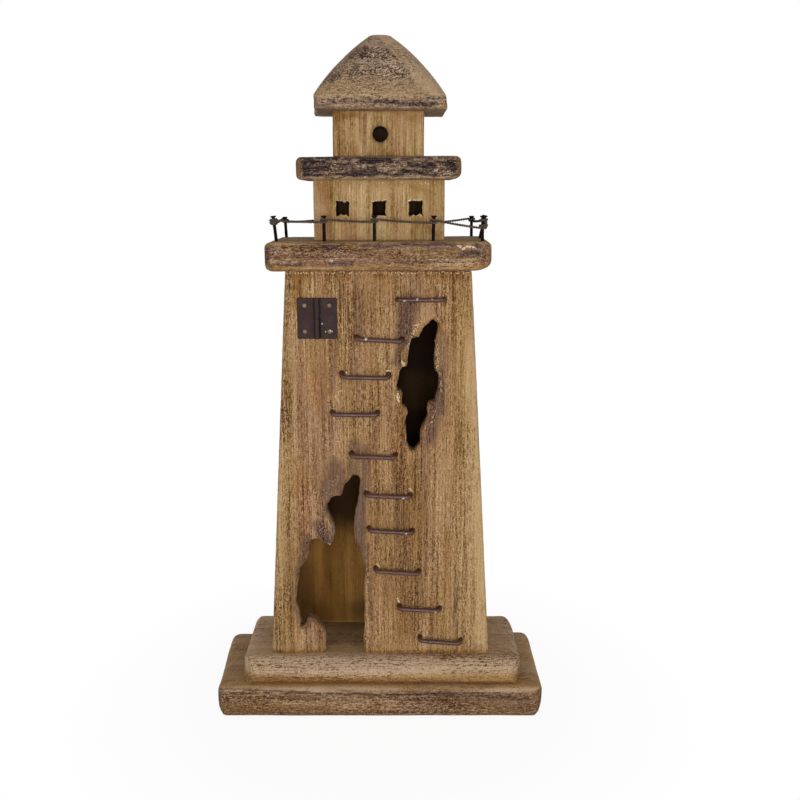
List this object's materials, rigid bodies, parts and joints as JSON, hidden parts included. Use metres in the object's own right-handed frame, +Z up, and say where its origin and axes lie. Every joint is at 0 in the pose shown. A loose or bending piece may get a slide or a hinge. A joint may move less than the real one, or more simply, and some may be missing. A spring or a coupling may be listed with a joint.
{
  "type": "lighthouse ornament",
  "caption": "Wooden lighthouse ornament: hollow tapered tower with carved openings, wire rungs, stacked rooms and decks, a twine rail and a hipped roof on a stepped base.",
  "frame": {"origin": "centre of the underside of the lower base board", "axes": "+X to the viewer's right, +Y from the carved front to the back, +Z up"},
  "size_m": [0.2222, 0.0864, 0.4496],
  "materials": {
    "tower_wood": "worn antique stain, open grain",
    "room_wood": "worn antique stain, open grain",
    "base_wood": "dark stain with rubbed grey wash",
    "deck_wood": "dark stain with rubbed grey wash",
    "eave_wood": "nearly black stain, heavily rubbed",
    "roof_wood": "dark stain, rubbed on the faces",
    "dowel_wood": "bare",
    "rung_iron": "dark brown paint, chipped",
    "hinge_iron": "dark brown paint, chipped",
    "nail_iron": "blackened",
    "screw_steel": "plain",
    "twine": "two twisted strands, dark"
  },
  "bodies": {
    "root": {"base_board_lower": "base_wood", "base_board_upper": "base_wood", "tower_front": "tower_wood", "tower_back": "tower_wood", "tower_side_left": "tower_wood", "tower_side_right": "tower_wood", "gallery_deck": "deck_wood", "watch_room": "room_wood", "eave_deck": "eave_wood", "lantern_room": "room_wood", "roof": "roof_wood", "gallery_dowels": "dowel_wood", "watch_room_dowels": "dowel_wood", "eave_dowels": "dowel_wood", "lantern_dowels": "dowel_wood", "roof_dowel": "dowel_wood", "base_screws": "screw_steel", "back_brads": "screw_steel", "hinge_leaf_left": "hinge_iron", "hinge_leaf_right": "hinge_iron", "hinge_pin": "hinge_iron", "hinge_nails": "hinge_iron", "rung_01": "rung_iron", "rung_02": "rung_iron", "rung_03": "rung_iron", "rung_04": "rung_iron", "rung_05": "rung_iron", "rung_06": "rung_iron", "rung_07": "rung_iron", "rung_08": "rung_iron", "rung_09": "rung_iron", "rung_10": "rung_iron", "rail_post_01": "nail_iron", "rail_post_02": "nail_iron", "rail_post_03": "nail_iron", "rail_post_04": "nail_iron", "rail_post_05": "nail_iron", "rail_post_06": "nail_iron", "rail_post_07": "nail_iron", "rail_post_08": "nail_iron", "rail_post_09": "nail_iron", "rail_post_10": "nail_iron", "rail_post_11": "nail_iron", "rail_twine": "twine"}
  },
  "joints": []
}
